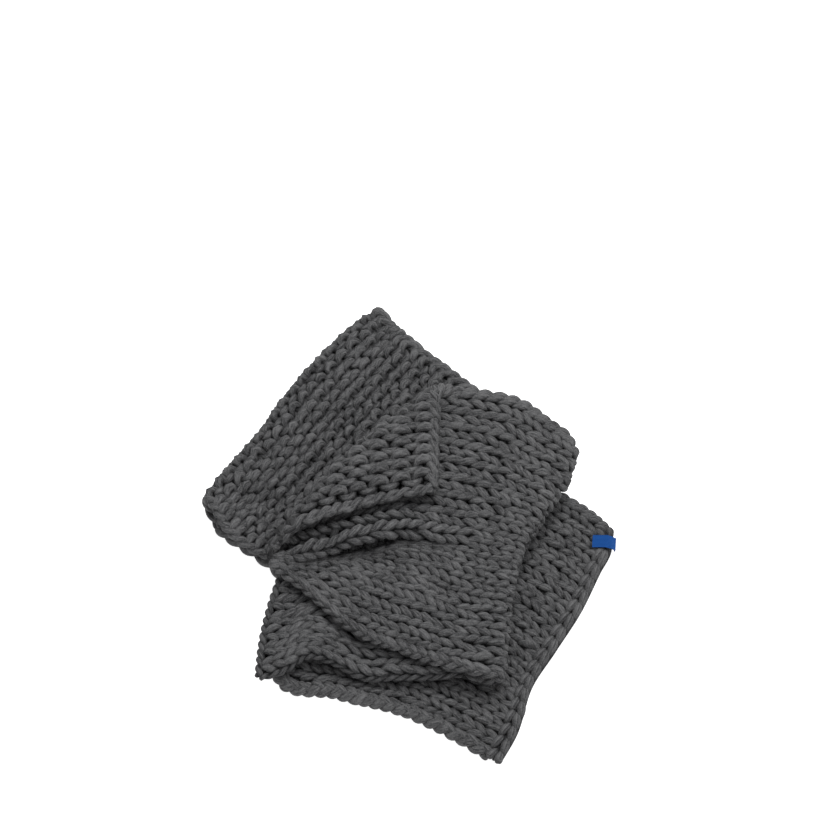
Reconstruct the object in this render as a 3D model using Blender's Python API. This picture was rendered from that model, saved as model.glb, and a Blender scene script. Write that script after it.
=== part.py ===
"""Weighted blanket, hand-knitted from thick soft tube yarn, dropped in a loose folded heap.

One long knitted strip lies back and forth in three layers. It starts at the bound-off end,
which carries a small woven label, runs left as the bottom layer, turns back in a loose raised
fold as the middle layer, and turns again at the right as the top layer. The far corner of the
top layer is turned over towards the viewer. The margin of the top layer is pleated out from
under it and lies on the bottom layer. Everything is one cloth; only the label is separate.

The tables are in millimetres. The front edge of the heap is towards -Y and +Z is up.
"""

import math
from collections import namedtuple

import bmesh
import bpy
import numpy as np

MM = 0.001

# cloth
CLOTH = 33.0                # loft of the knitted cloth from face to face
STOREY = 36.0               # height from the middle of one layer to the next
EDGE_LOFT = 0.62            # share of the loft that is left at an edge
EDGE_ROUND = 6.0            # how far an edge swells out past its last stitch
EDGE_BAND = 12.0            # width of the edge band along both ends
BASE = CLOTH / 2            # middle of the bottom layer
MIDDLE = BASE + STOREY      # middle of the second layer
TOP = MIDDLE + STOREY       # middle of the third layer

# grid of the loft
LAYER_STEP = 27.0           # spacing of the cross sections in the lower layers
TOP_STEP = 15.0             # and in the top layer
FOLD_STEP = 12.5            # and round a fold
FOLD_ANGLES = (-90, -60, -30, 0, 30, 60, 90)
FOLD_LEAD = 12.0            # level cloth kept at both ends of a fold
COLUMNS = (0.0, 0.02, 0.06, 0.10, 0.14, 0.18, 0.22, 0.26, 0.30, 0.34, 0.38, 0.42, 0.45, 0.475,
           0.5, 0.53, 0.57, 0.61, 0.66, 0.71, 0.76, 0.81, 0.87, 0.93, 0.98, 1.0)

# Lines across the strip: places at shares of its width, from the upper selvedge to the lower.
Rim = namedtuple("Rim", "across x y")
BOUND_OFF = (
    Rim(0.00, 410, 14), Rim(0.06, 408, -24), Rim(0.15, 384, -75), Rim(0.32, 344, -160),
    Rim(0.50, 290, -246), Rim(0.68, 238, -330), Rim(0.86, 213, -418), Rim(1.00, 178, -483),
)

# Cross sections of the two lower layers, in the order in which the strip runs. Each goes
# straight from the upper selvedge to the lower one, bowed along the strip by `bow` at its middle,
# and its lower selvedge curls up by `curl`.
Section = namedtuple("Section", "upper_x upper_y lower_x lower_y bow_x bow_y curl")
BOTTOM_LAYER = (
    Section(362, 60, 88, -427, 0, 0, 0),
    Section(282, 116, -2, -380, 0, 0, 0),
    Section(165, 262, -150, -338, 0, 0, 0),
    Section(45, 388, -270, -294, 10, -10, 0),
    Section(-32, 452, -248, -118, 20, -20, 0),
)
MIDDLE_LAYER = (
    Section(-22, 450, -376, -6, 0, 0, 27),
    Section(52, 384, -300, -52, 0, 0, 2),
    Section(134, 314, -190, -60, 0, 0, 0),
    Section(225, 250, -55, -130, 0, 0, 0),
)
CURL_FROM = 0.80            # where across the width that curl begins

# The two folds: outline of the rim as seen from above with the way it bulges there, as a bearing
# from +X in degrees, and the bend radius of the cloth's middle.
Fold = namedtuple("Fold", "across x y bearing")
LEFT_FOLD = (
    Fold(0.00, -80, 516, 122), Fold(0.13, -132, 478, 135), Fold(0.30, -206, 398, 140),
    Fold(0.46, -260, 332, 140), Fold(0.68, -328, 226, 140), Fold(0.82, -376, 164, 135),
    Fold(1.00, -428, 78, 120),
)
LEFT_RADIUS = 27.0
LEFT_CURL = 27.0            # how far its lower end is raised with the curled selvedge
RIGHT_FOLD = (
    Fold(0.00, 341, 156, -62), Fold(0.10, 325, 100, -42), Fold(0.20, 296, 50, -30),
    Fold(0.33, 258, -10, -22), Fold(0.48, 228, -72, -20), Fold(0.62, 213, -140, -20),
    Fold(0.80, 200, -228, -18), Fold(1.00, 191, -328, -5),
)
RIGHT_RADIUS = 20.0

# Cross sections of the top layer. A pleat runs along it: the cloth climbs to a ridge halfway
# across, drops steeply, and `tucked` is the share of the width taken up when it comes out.
Pleated = namedtuple("Pleated", "upper_x upper_y ridge_x ridge_y rise tucked lower_x lower_y")
TOP_LAYER = (
    Pleated(280, 232, 158, -48, 4, 0.53, 105, -311),
    Pleated(225, 276, 98, -30, 12, 0.575, 54, -298),
    Pleated(150, 296, 38, -24, 24, 0.63, 0, -278),
    Pleated(85, 304, -15, -23, 34, 0.67, -46, -259),
    Pleated(15, 306, -75, -38, 38, 0.73, -95, -240),
    Pleated(-55, 306, -150, -57, 36, 0.80, -153, -198),
    Pleated(-130, 302, -222, -68, 18, 0.86, -215, -138),
    Pleated(-200, 292, -287, -66, 0, 0.90, -275, -92),
)
RIDGE_FOOT = 26.0           # how far below the ridge the cloth is flat again
RIDGE_BACK = 0.455          # where across the width it starts to climb

# The corner of the top layer turned over along a crest line from (x, y) to (x, y).
CREST_FROM, CREST_TO = (46, 303), (-295, -60)
CREST_RADIUS = 27.0         # bend radius of the cloth's middle
CREST_BOW = 28.0            # how far the crest bows outward halfway along
CREST_REACH = 190.0         # distance over which that bow dies out
FLAP_GAP = 4.0              # air under the flap where it lies on the layer below
FLAP_SETTLE = 70.0          # distance over which the flap comes down from the crest

# Sections of the pleated margin that shows below the top layer, from left to right. The upper
# end is under the top layer; `bow` moves the middle sideways, `lift` raises the lower lip and
# `join` the whole section.
Margin = namedtuple("Margin", "upper_x upper_y lower_x lower_y bow lift join")
MARGIN = (
    Margin(-266, -90, -310, -316, -10, 0, 0),
    Margin(-222, -98, -262, -304, -8, 4, 0),
    Margin(-170, -118, -208, -274, -5, 15, 0),
    Margin(-118, -142, -154, -286, 0, 5, 0),
    Margin(-62, -168, -98, -315, 0, 0, 0),
    Margin(-8, -192, -34, -315, 0, 0, 0),
    Margin(48, -222, 36, -316, 0, 0, 5),
    Margin(104, -248, 112, -314, 0, 0, 22),
)
MARGIN_STEPS = 6            # cells across the margin

# woven label on the bound-off edge
LABEL_THICK = 1.6
LABEL_CLEAR = 0.9           # off the cloth
LABEL_SIDES = (1.0, -26.0)      # its two long sides, as places along Y
LABEL_LENGTH = 38.0         # from its inner end to the edge of the cloth, then over the edge


def smooth(t):
    """0 to 1 with level ends."""
    t = np.clip(t, 0.0, 1.0)
    return t * t * (3 - 2 * t)


def gentle(xs, ys, x):
    """Monotone cubic through the points (xs, ys), taken at x: it never overshoots a table."""
    xs, ys, x = np.asarray(xs, float), np.asarray(ys, float), np.asarray(x, float)
    step = np.diff(xs)
    slope = np.diff(ys) / step
    tangent = np.zeros(len(xs))
    tangent[0], tangent[-1] = slope[0], slope[-1]
    for i in range(1, len(xs) - 1):
        if slope[i - 1] * slope[i] > 0:
            tangent[i] = 2 / (1 / slope[i - 1] + 1 / slope[i])
    i = np.clip(np.searchsorted(xs, x, side="right") - 1, 0, len(xs) - 2)
    t = (x - xs[i]) / step[i]
    return (ys[i] * (1 + 2 * t) * (1 - t) ** 2 + tangent[i] * step[i] * t * (1 - t) ** 2
            + ys[i + 1] * t * t * (3 - 2 * t) - tangent[i + 1] * step[i] * t * t * (1 - t))


def flowing(xs, rows, x):
    """Smooth curve through whole rows of points at the stations xs, taken at x."""
    step = np.diff(xs)
    slope = np.diff(rows, axis=0) / step[:, None, None]
    tangent = np.empty_like(rows)
    tangent[0], tangent[-1] = slope[0], slope[-1]
    weight = (step[1:] / (step[1:] + step[:-1]))[:, None, None]
    tangent[1:-1] = slope[:-1] * weight + slope[1:] * (1 - weight)
    i = np.clip(np.searchsorted(xs, x, side="right") - 1, 0, len(xs) - 2)
    t = ((x - xs[i]) / step[i])[:, None, None]
    h = step[i][:, None, None]
    return (rows[i] * (1 + 2 * t) * (1 - t) ** 2 + tangent[i] * h * t * (1 - t) ** 2
            + rows[i + 1] * t * t * (3 - 2 * t) - tangent[i + 1] * h * t * t * (1 - t))


def layer_row(section, height, across):
    """A cross section of a flat layer: places across the width."""
    bow = 4 * across * (1 - across)
    x = section.upper_x + (section.lower_x - section.upper_x) * across + section.bow_x * bow
    y = section.upper_y + (section.lower_y - section.upper_y) * across + section.bow_y * bow
    return np.stack([x, y, height + section.curl * curled(across)], axis=1)


def curled(across):
    """Share of a selvedge's curl at places across the width."""
    return smooth((across - CURL_FROM) / (1 - CURL_FROM))


def pleated_row(section, across):
    """A cross section of the top layer, up to the ridge and down to the lower selvedge."""
    upper = np.array([section.upper_x, section.upper_y], float)
    ridge = np.array([section.ridge_x, section.ridge_y], float)
    lower = np.array([section.lower_x, section.lower_y], float)
    down = (lower - ridge) / np.linalg.norm(lower - ridge)
    foot = ridge + down * min(RIDGE_FOOT, 0.5 * np.linalg.norm(lower - ridge))
    shares = (0.0, RIDGE_BACK, 0.5, section.tucked, 1.0)
    back = upper + (ridge - upper) * RIDGE_BACK / 0.5
    places = (upper, back, ridge, foot, lower)
    rises = (0.0, 0.0, section.rise, 0.0, 0.0)
    return np.stack([gentle(shares, [p[0] for p in places], across),
                     gentle(shares, [p[1] for p in places], across),
                     TOP + gentle(shares, rises, across)], axis=1)


def line_row(line, height, across):
    """Places across the width along a line of the table kind."""
    return np.stack([gentle([r.across for r in line], [r.x for r in line], across),
                     gentle([r.across for r in line], [r.y for r in line], across),
                     np.full_like(across, height)], axis=1)


def fold_rows(rim, radius, floor, curl, across, knit_side):
    """The lines round a fold from its lower layer to its upper one, with level cloth at both
    ends. The upper one's selvedge is raised by `curl`. `knit_side` is +1 where the knit side
    faces away from the fold's axis, else -1."""
    bearing = np.radians(gentle([r.across for r in rim], [r.bearing for r in rim], across))
    out = np.stack([np.cos(bearing), np.sin(bearing), np.zeros_like(bearing)], axis=1)
    axis = line_row(rim, floor + radius, across) - out * (CLOTH / 2 + radius)
    lines = [(angle, 0.0) for angle in FOLD_ANGLES]
    lines = [(-90, FOLD_LEAD), *lines, (90, FOLD_LEAD)]
    rows = []
    for angle, lead in lines:
        turn = math.radians(angle)
        away = out * math.cos(turn) + np.array([0, 0, math.sin(turn)])
        line = axis + away * radius - out * lead
        line[:, 2] += curl * curled(across) * (1 + math.sin(turn)) / 2
        rows.append((line, away * knit_side, FOLD_STEP))
    return rows


def strip_rows(across):
    """Every cross section of the strip in order, with the knit side's direction and a step."""
    up = np.tile([0.0, 0.0, 1.0], (len(across), 1))
    rows = [(line_row(BOUND_OFF, BASE, across), up, LAYER_STEP)]
    rows += [(layer_row(s, BASE, across), up, LAYER_STEP) for s in BOTTOM_LAYER]
    rows += fold_rows(LEFT_FOLD, LEFT_RADIUS, BASE, LEFT_CURL, across, -1)
    rows += [(layer_row(s, MIDDLE, across), -up, LAYER_STEP) for s in MIDDLE_LAYER]
    rows += fold_rows(RIGHT_FOLD, RIGHT_RADIUS, MIDDLE, 0, across, 1)
    rows += [(pleated_row(s, across), up, TOP_STEP) for s in TOP_LAYER]
    return rows


def turn_corner(place, facing):
    """Bends the far corner of the top layer up and over the crest, and bows the crest."""
    start, end = np.array(CREST_FROM, float), np.array(CREST_TO, float)
    length = np.linalg.norm(end - start)
    along = (end - start) / length
    out = np.array([along[1], -along[0]])
    flat = place[:, :, :2] - start
    run, past = flat @ along, flat @ out + CREST_RADIUS + CLOTH / 2
    rise = (place[:, :, 2] - TOP) * (1 - smooth((past + 45) / 45))
    arc = math.pi * CREST_RADIUS
    turn = np.clip(past / CREST_RADIUS, 0, math.pi)
    beyond = np.clip(past - arc, 0, None)
    reach = np.where(past > 0, np.sin(turn) * (CREST_RADIUS - rise) - beyond, past)
    settle = (2 * CREST_RADIUS - CLOTH - FLAP_GAP) * smooth(beyond / FLAP_SETTLE)
    height = np.where(past > 0, CREST_RADIUS - np.cos(turn) * (CREST_RADIUS - rise) - settle, rise)
    bow = CREST_BOW * np.sin(math.pi * np.clip(run / length, 0, 1))
    bow = bow * (1 - smooth((np.abs(reach) - CREST_RADIUS) / CREST_REACH))
    reach = reach - CREST_RADIUS - CLOTH / 2 + bow
    moved = np.empty_like(place)
    moved[:, :, :2] = start + run[..., None] * along + reach[..., None] * out
    moved[:, :, 2] = TOP + height
    side = facing[:, :, :2] @ out
    faced = facing.copy()
    faced[:, :, :2] += ((side * np.cos(turn) - facing[:, :, 2] * np.sin(turn)) - side)[..., None] * out
    faced[:, :, 2] = side * np.sin(turn) + facing[:, :, 2] * np.cos(turn)
    return moved, faced


def strip_grid(across, ladder=None):
    """Middle surface of the whole strip: places, knit-side directions and distances along it."""
    rows = strip_rows(across)
    places = np.array([r[0] for r in rows])
    facings = np.array([r[1] for r in rows])
    middle = np.array([r[0] for r in strip_rows(np.array([0.25, 0.5]))]).mean(axis=1)
    chord = np.linalg.norm(np.diff(middle, axis=0), axis=1)
    marks = np.concatenate([[0.0], np.cumsum(chord)])
    if ladder is None:
        ladder = [0.0, EDGE_BAND]
        for i, gap in enumerate(chord):
            count = max(1, round(gap / max(rows[i][2], rows[i + 1][2])))
            ladder += [marks[i] + gap * (k + 1) / count for k in range(count)]
        ladder = sorted(s for s in ladder if s <= marks[-1] - 1.5 * EDGE_BAND
                        and not EDGE_BAND < s < 1.6 * EDGE_BAND)
        ladder += [marks[-1] - EDGE_BAND, marks[-1]]
    ladder = np.array(ladder)
    place = flowing(marks, places, ladder)
    facing = flowing(marks, facings, ladder)
    top_start = marks[len(rows) - len(TOP_LAYER)]
    on_top = ladder > top_start - 1e-6
    place[on_top], facing[on_top] = turn_corner(place[on_top], facing[on_top])
    facing /= np.linalg.norm(facing, axis=2, keepdims=True)
    return place, facing, ladder


def margin_grid():
    """Middle surface of the pleated margin, with its upward directions."""
    across = np.linspace(0, 1, MARGIN_STEPS + 1)
    band = EDGE_BAND / 150
    across = np.array([0.0, band, *across[1:-1], 1 - band, 1.0])
    rows = []
    for m in MARGIN:
        ends = Section(m.upper_x, m.upper_y, m.lower_x, m.lower_y, m.bow, 0, 0)
        row = layer_row(ends, MIDDLE, across)
        row[:, 2] += m.join + m.lift * smooth(across)
        rows.append(row)
    rows = np.array(rows)
    marks = np.arange(len(MARGIN), dtype=float)
    stations = [0.0, 0.25, *np.arange(0.75, len(MARGIN) - 1.4, 0.5), len(MARGIN) - 1.25,
                len(MARGIN) - 1.0]
    place = flowing(marks, rows, np.array(stations))
    return place, np.tile([0.0, 0.0, 1.0], (*place.shape[:2], 1))


def rim_of(count, width):
    """The border of a grid as (row, column) pairs, once round."""
    loop = [(0, j) for j in range(width)]
    loop += [(i, width - 1) for i in range(1, count)]
    loop += [(count - 1, j) for j in range(width - 2, -1, -1)]
    return loop + [(i, 0) for i in range(count - 2, 0, -1)]


def slab(name, place, facing):
    """Closed cloth round a middle surface, with full loft inside and rounded, thinner edges."""
    count, width = place.shape[:2]
    half = np.full((count, width), CLOTH / 2)
    half[[0, -1], :] *= EDGE_LOFT
    half[:, [0, -1]] = CLOTH / 2 * EDGE_LOFT
    front, back = place + facing * half[..., None], place - facing * half[..., None]
    border = rim_of(count, width)
    swell = []
    for i, j in border:
        out = np.zeros(3)
        if i in (0, count - 1):
            out += (place[0, j] - place[1, j]) if i == 0 else (place[-1, j] - place[-2, j])
        if j in (0, width - 1):
            side = (place[i, 0] - place[i, 1]) if j == 0 else (place[i, -1] - place[i, -2])
            out = out / max(np.linalg.norm(out), 1e-9) + side / max(np.linalg.norm(side), 1e-9)
        out -= facing[i, j] * (out @ facing[i, j])
        swell.append(place[i, j] + out / np.linalg.norm(out) * EDGE_ROUND)
    points = [*front.reshape(-1, 3), *back.reshape(-1, 3), *swell]
    layer = count * width

    faces = []
    for i in range(count - 1):
        for j in range(width - 1):
            a, b, c, d = (i * width + j, i * width + j + 1, (i + 1) * width + j + 1,
                          (i + 1) * width + j)
            faces += [(a, b, c, d), (d + layer, c + layer, b + layer, a + layer)]
    for k, (i, j) in enumerate(border):
        m, n = border[(k + 1) % len(border)]
        p, q = i * width + j, m * width + n
        r, s = 2 * layer + k, 2 * layer + (k + 1) % len(border)
        faces += [(q, p, r, s), (s, r, p + layer, q + layer)]
    return mesh_object(name, points, faces)


def mesh_object(name, points, faces):
    """A closed mesh in metres, facing out and shaded smooth."""
    mesh = bpy.data.meshes.new(name)
    mesh.from_pydata([tuple(float(v) * MM for v in p) for p in points], [], faces)
    shape = bmesh.new()
    shape.from_mesh(mesh)
    bmesh.ops.recalc_face_normals(shape, faces=shape.faces)
    bmesh.ops.triangulate(shape, faces=shape.faces)
    for face in shape.faces:
        face.smooth = True
    shape.to_mesh(mesh)
    shape.free()
    return bpy.data.objects.new(name, mesh)


def label(place):
    """Folded woven tab: lies on the bound-off edge and turns down over its outer side."""
    half = CLOTH / 2 * EDGE_LOFT
    ahead, lines = np.array([1.0, 0.0, 0.0]), []
    for side in LABEL_SIDES:
        edge = np.array([np.interp(-side, -place[0, :, 1], place[0, :, 0]), side, BASE])
        band = np.array([np.interp(-side, -place[1, :, 1], place[1, :, 0]), side, BASE])
        lines.append([edge - ahead * LABEL_LENGTH + [0, 0, CLOTH / 2],
                      band + [0, 0, CLOTH / 2], edge + [0, 0, half],
                      edge + ahead * EDGE_ROUND * 1.5,
                      edge + ahead * EDGE_ROUND * 1.2 - [0, 0, 5]])
    points, steps = [], len(lines[0])
    for lift in (LABEL_CLEAR, LABEL_CLEAR + LABEL_THICK):
        for path in lines:
            for k, p in enumerate(path):
                fore = path[min(k + 1, steps - 1)] - path[max(k - 1, 0)]
                normal = np.array([-fore[2], 0.0, fore[0]])
                points.append(p + normal / np.linalg.norm(normal) * lift)
    rows = [list(range(k * steps, (k + 1) * steps)) for k in range(4)]
    faces = []
    for a, b in ((rows[0], rows[1]), (rows[1], rows[3]), (rows[3], rows[2]), (rows[2], rows[0])):
        faces += [(a[k], a[k + 1], b[k + 1], b[k]) for k in range(steps - 1)]
    faces += [tuple(r[0] for r in (rows[0], rows[2], rows[3], rows[1])),
              tuple(r[-1] for r in (rows[0], rows[1], rows[3], rows[2]))]
    return mesh_object("label", points, faces)


def cloth_material(name, colour, rough):
    """Plain cloth surface."""
    made = bpy.data.materials.new(name)
    made.use_nodes = True
    shader = made.node_tree.nodes["Principled BSDF"]
    shader.inputs["Base Color"].default_value = (*colour, 1)
    shader.inputs["Roughness"].default_value = rough
    return made


for old in list(bpy.data.objects):
    bpy.data.objects.remove(old, do_unlink=True)
shown = bpy.data.collections.new("weighted_blanket")
tools = bpy.data.collections.new("joined_in")
bpy.context.scene.collection.children.link(shown)
bpy.context.scene.collection.children.link(tools)

strip_place, strip_facing, strip_ladder = strip_grid(np.array(COLUMNS))
blanket = slab("blanket", strip_place, strip_facing)
margin = slab("margin", *margin_grid())
tab = label(strip_place)

for piece in (blanket, tab):
    shown.objects.link(piece)
tools.objects.link(margin)
margin.hide_render = True
margin.display_type = "WIRE"

# the origin is the middle of the whole heap's footprint, on the floor
corners = np.array([v.co for o in (blanket, margin, tab) for v in o.data.vertices])
low, high = corners.min(axis=0), corners.max(axis=0)
for o in (blanket, margin, tab):
    for v in o.data.vertices:
        v.co.x -= (low[0] + high[0]) / 2
        v.co.y -= (low[1] + high[1]) / 2
        v.co.z -= low[2]

join = blanket.modifiers.new("margin", "BOOLEAN")
join.operation = "UNION"
join.solver = "EXACT"
join.object = margin

blanket.data.materials.append(cloth_material("charcoal_knit", (0.09, 0.09, 0.095), 0.9))
margin.data.materials.append(blanket.data.materials[0])
tab.data.materials.append(cloth_material("blue_weave", (0.03, 0.10, 0.32), 0.7))
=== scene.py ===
"""Dressed scene of the weighted blanket: every stitch of the knit as yarn on the folded cloth.

Lengths are in millimetres up to the finished meshes, which are in metres. A course is one row of
stitches across the strip; a wale is one column of stitches along it. A place on a cloth is
(u, s, n): `u` is where across it, as a share of the strip's width or as a distance up from the
margin's lip, `s` how far along it, and `n` how far off its middle towards the knit side.
"""
import math
from collections import namedtuple

import bpy
import numpy as np
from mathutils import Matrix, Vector


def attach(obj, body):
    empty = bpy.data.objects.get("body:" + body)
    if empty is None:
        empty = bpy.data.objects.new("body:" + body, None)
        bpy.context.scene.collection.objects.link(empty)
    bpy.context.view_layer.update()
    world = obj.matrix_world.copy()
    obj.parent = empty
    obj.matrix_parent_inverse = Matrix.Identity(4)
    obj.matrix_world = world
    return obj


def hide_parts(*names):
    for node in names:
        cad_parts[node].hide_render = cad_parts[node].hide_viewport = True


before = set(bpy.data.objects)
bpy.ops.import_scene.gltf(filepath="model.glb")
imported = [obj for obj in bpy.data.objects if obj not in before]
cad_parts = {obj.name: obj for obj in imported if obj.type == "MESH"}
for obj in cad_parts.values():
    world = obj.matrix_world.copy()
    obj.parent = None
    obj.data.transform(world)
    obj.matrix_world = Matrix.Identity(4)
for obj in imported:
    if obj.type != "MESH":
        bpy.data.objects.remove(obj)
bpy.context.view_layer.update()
MM = 0.001

# cloth
CLOTH = 33.0                # loft of the knitted cloth from face to face
STOREY = 36.0               # height from the middle of one layer to the next
BASE = CLOTH / 2            # middle of the bottom layer
MIDDLE = BASE + STOREY      # middle of the second layer
TOP = MIDDLE + STOREY       # middle of the third layer

FOLD_ANGLES = (-90, -60, -30, 0, 30, 60, 90)
FOLD_LEAD = 12.0            # level cloth kept at both ends of a fold
# Lines across the strip: places at shares of its width, from the upper selvedge to the lower.
Rim = namedtuple("Rim", "across x y")
BOUND_OFF = (
    Rim(0.00, 410, 14), Rim(0.06, 408, -24), Rim(0.15, 384, -75), Rim(0.32, 344, -160),
    Rim(0.50, 290, -246), Rim(0.68, 238, -330), Rim(0.86, 213, -418), Rim(1.00, 178, -483),
)

# Cross sections of the two lower layers, in the order in which the strip runs. Each goes
# straight from the upper selvedge to the lower one, bowed along the strip by `bow` at its middle,
# and its lower selvedge curls up by `curl`.
Section = namedtuple("Section", "upper_x upper_y lower_x lower_y bow_x bow_y curl")
BOTTOM_LAYER = (
    Section(362, 60, 88, -427, 0, 0, 0),
    Section(282, 116, -2, -380, 0, 0, 0),
    Section(165, 262, -150, -338, 0, 0, 0),
    Section(45, 388, -270, -294, 10, -10, 0),
    Section(-32, 452, -248, -118, 20, -20, 0),
)
MIDDLE_LAYER = (
    Section(-22, 450, -376, -6, 0, 0, 27),
    Section(52, 384, -300, -52, 0, 0, 2),
    Section(134, 314, -190, -60, 0, 0, 0),
    Section(225, 250, -55, -130, 0, 0, 0),
)
CURL_FROM = 0.80            # where across the width that curl begins

# The two folds: outline of the rim as seen from above with the way it bulges there, as a bearing
# from +X in degrees, and the bend radius of the cloth's middle.
Fold = namedtuple("Fold", "across x y bearing")
LEFT_FOLD = (
    Fold(0.00, -80, 516, 122), Fold(0.13, -132, 478, 135), Fold(0.30, -206, 398, 140),
    Fold(0.46, -260, 332, 140), Fold(0.68, -328, 226, 140), Fold(0.82, -376, 164, 135),
    Fold(1.00, -428, 78, 120),
)
LEFT_RADIUS = 27.0
LEFT_CURL = 27.0            # how far its lower end is raised with the curled selvedge
RIGHT_FOLD = (
    Fold(0.00, 341, 156, -62), Fold(0.10, 325, 100, -42), Fold(0.20, 296, 50, -30),
    Fold(0.33, 258, -10, -22), Fold(0.48, 228, -72, -20), Fold(0.62, 213, -140, -20),
    Fold(0.80, 200, -228, -18), Fold(1.00, 191, -328, -5),
)
RIGHT_RADIUS = 20.0

# Cross sections of the top layer. A pleat runs along it: the cloth climbs to a ridge halfway
# across, drops steeply, and `tucked` is the share of the width taken up when it comes out.
Pleated = namedtuple("Pleated", "upper_x upper_y ridge_x ridge_y rise tucked lower_x lower_y")
TOP_LAYER = (
    Pleated(280, 232, 158, -48, 4, 0.53, 105, -311),
    Pleated(225, 276, 98, -30, 12, 0.575, 54, -298),
    Pleated(150, 296, 38, -24, 24, 0.63, 0, -278),
    Pleated(85, 304, -15, -23, 34, 0.67, -46, -259),
    Pleated(15, 306, -75, -38, 38, 0.73, -95, -240),
    Pleated(-55, 306, -150, -57, 36, 0.80, -153, -198),
    Pleated(-130, 302, -222, -68, 18, 0.86, -215, -138),
    Pleated(-200, 292, -287, -66, 0, 0.90, -275, -92),
)
RIDGE = 0.5                 # where across the width the ridge is
RIDGE_FOOT = 26.0           # how far below the ridge the cloth is flat again
RIDGE_BACK = 0.425          # where across the width it starts to climb

# The corner of the top layer turned over along a crest line from (x, y) to (x, y).
CREST_FROM, CREST_TO = (46, 303), (-295, -60)
CREST_RADIUS = 27.0         # bend radius of the cloth's middle
CREST_BOW = 28.0            # how far the crest bows outward halfway along
CREST_REACH = 190.0         # distance over which that bow dies out
FLAP_GAP = 4.0              # air under the flap where it lies on the layer below
FLAP_SETTLE = 70.0          # distance over which the flap comes down from the crest
RELIEF_ENDS = 20.0          # how far before the bend the ridge's relief starts to die out
RELIEF_FADE = 30.0          # and over what distance

# Sections of the pleated margin that shows below the top layer, from left to right. The upper
# end is under the top layer; `bow` moves the middle sideways, `lift` raises the lower lip and
# `join` the whole section.
Margin = namedtuple("Margin", "upper_x upper_y lower_x lower_y bow lift join")
MARGIN = (
    Margin(-266, -90, -310, -316, -10, 0, 0),
    Margin(-222, -98, -262, -304, -8, 4, 0),
    Margin(-170, -118, -208, -274, -5, 15, 0),
    Margin(-118, -142, -154, -286, 0, 5, 0),
    Margin(-62, -168, -98, -315, 0, 0, 0),
    Margin(-8, -192, -34, -315, 0, 0, 0),
    Margin(48, -222, 36, -316, 0, 0, 5),
    Margin(104, -248, 112, -314, 0, 0, 22),
)

# where the middle of the heap's footprint falls in the tables
HEAP_CENTRE = np.array([-2.12, 10.93, 0.0])

# The strip's cross sections by number: how many a fold has, the first of the left fold and its
# outermost, and the first of the right fold and of the top layer.
FOLD_ROWS = len(FOLD_ANGLES) + 2
LEFT_ROW = 1 + len(BOTTOM_LAYER)
LEFT_TURN = LEFT_ROW + FOLD_ROWS // 2
RIGHT_ROW = LEFT_ROW + FOLD_ROWS + len(MIDDLE_LAYER)
TOP_ROW = RIGHT_ROW + FOLD_ROWS

# the grids in which the cloth's surfaces are kept
STRIP_ACROSS, STRIP_ALONG = 181, 440    # lines of the strip's grid
STRIP_GAUGE = (0.25, 0.5)   # places across it that its length is measured between
MARGIN_DEPTH = 240.0        # how far up from its lip the margin goes
MARGIN_ACROSS, MARGIN_ALONG = 61, 90    # lines of its grid
MARGIN_GAUGE = 15           # the one that its length is measured on
FACING_SHARE = 0.25         # share of the tables' own direction in the cloth's
BLUR_ROUNDS, BLUR_REACH = 3, 2          # how often that is blurred, and over how many grid lines
TINY = 1e-9                 # keeps a length off zero where it divides
LEAST_PLEAT = 0.001         # and the pleat's share of the width

# the knit
WALES = 18                  # stitches across the strip
COURSES = 80                # rows of stitches along it
FIRST_COURSE = 37.0         # distance of the first row from the bound-off end
LAST_COURSE = 17.0          # and of the last one from the other end
LOOP_TALL = 1.78            # height of a loop in rows
LOOP_SPLAY = 0.228          # how far the legs of a loop lean apart, in wales
YARN = 7.6                  # yarn radius in the plane of the cloth
YARN_DEEP = 7.9             # and through it
DEPTH = 7.9                 # how far the legs stand forward and the heads back
SWELL = 0.13                # how much the yarn swells in a leg, a head and a foot
HEAD_SWELL = 0.14           # how much fatter a head is, and finer the foot between two loops
FOOT_SUNK = 1.8             # how much deeper than a head a foot lies, from the purl side
USUAL_WALE = 33.0           # width of a wale in which the yarn has just that radius
LEAST_WALE = 8.0            # width under which a wale's unevenness shrinks with it
FINEST, FATTEST = 0.94, 1.12            # how far the yarn's radius follows a wale's width
POINTS = 16                 # points round one loop
RING = 10                   # points round the yarn
TIP = 0.6                   # length of a strand's pointed end, in yarn radii
KNOTS = 4                   # places in one loop that are moved by chance
JITTER = 1.9                # how far they are moved in the plane of the cloth
JITTER_DEEP = 0.45          # share of that through it
JITTER_SIZE = 0.02          # and what it does to the yarn's radius

# flat strands behind the stitches
BACK_LEVEL = -12.0
BACK_WIDE, BACK_DEEP = 12.4, 4.0        # radii in the plane of the cloth and through it
BACK_RING = 6               # points round one
BACK_INSET = 0.02           # how far it stays inside the strip, as a share of the width
BACK_START = 5.0            # distance past the first course where they begin
BACK_STOP = 60.0            # and before the left fold, where they end
BACK_POINTS = 60

# the pleat under the ridge
PLEAT_OPENS = 0.57          # `tucked` from which the wales part at it
PLEAT_BLEND = 0.1           # and the rise of `tucked` over which they take their own width
RIDGE_SPREAD = 0.05         # how much wider the wales above it lie
LOWER_WALE = 30.5           # width of the wales below it
OVER_RIDGE = 25.0           # how far the last of those above hangs over the ridge
OVER_MOST = 0.5             # and the most as a share of the slope
UP_LEAST, UP_SLOPE = 8.0, 15.0          # least and most that the first below it goes up the slope
UP_MOST = 0.35              # and the most as a share of the slope

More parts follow.
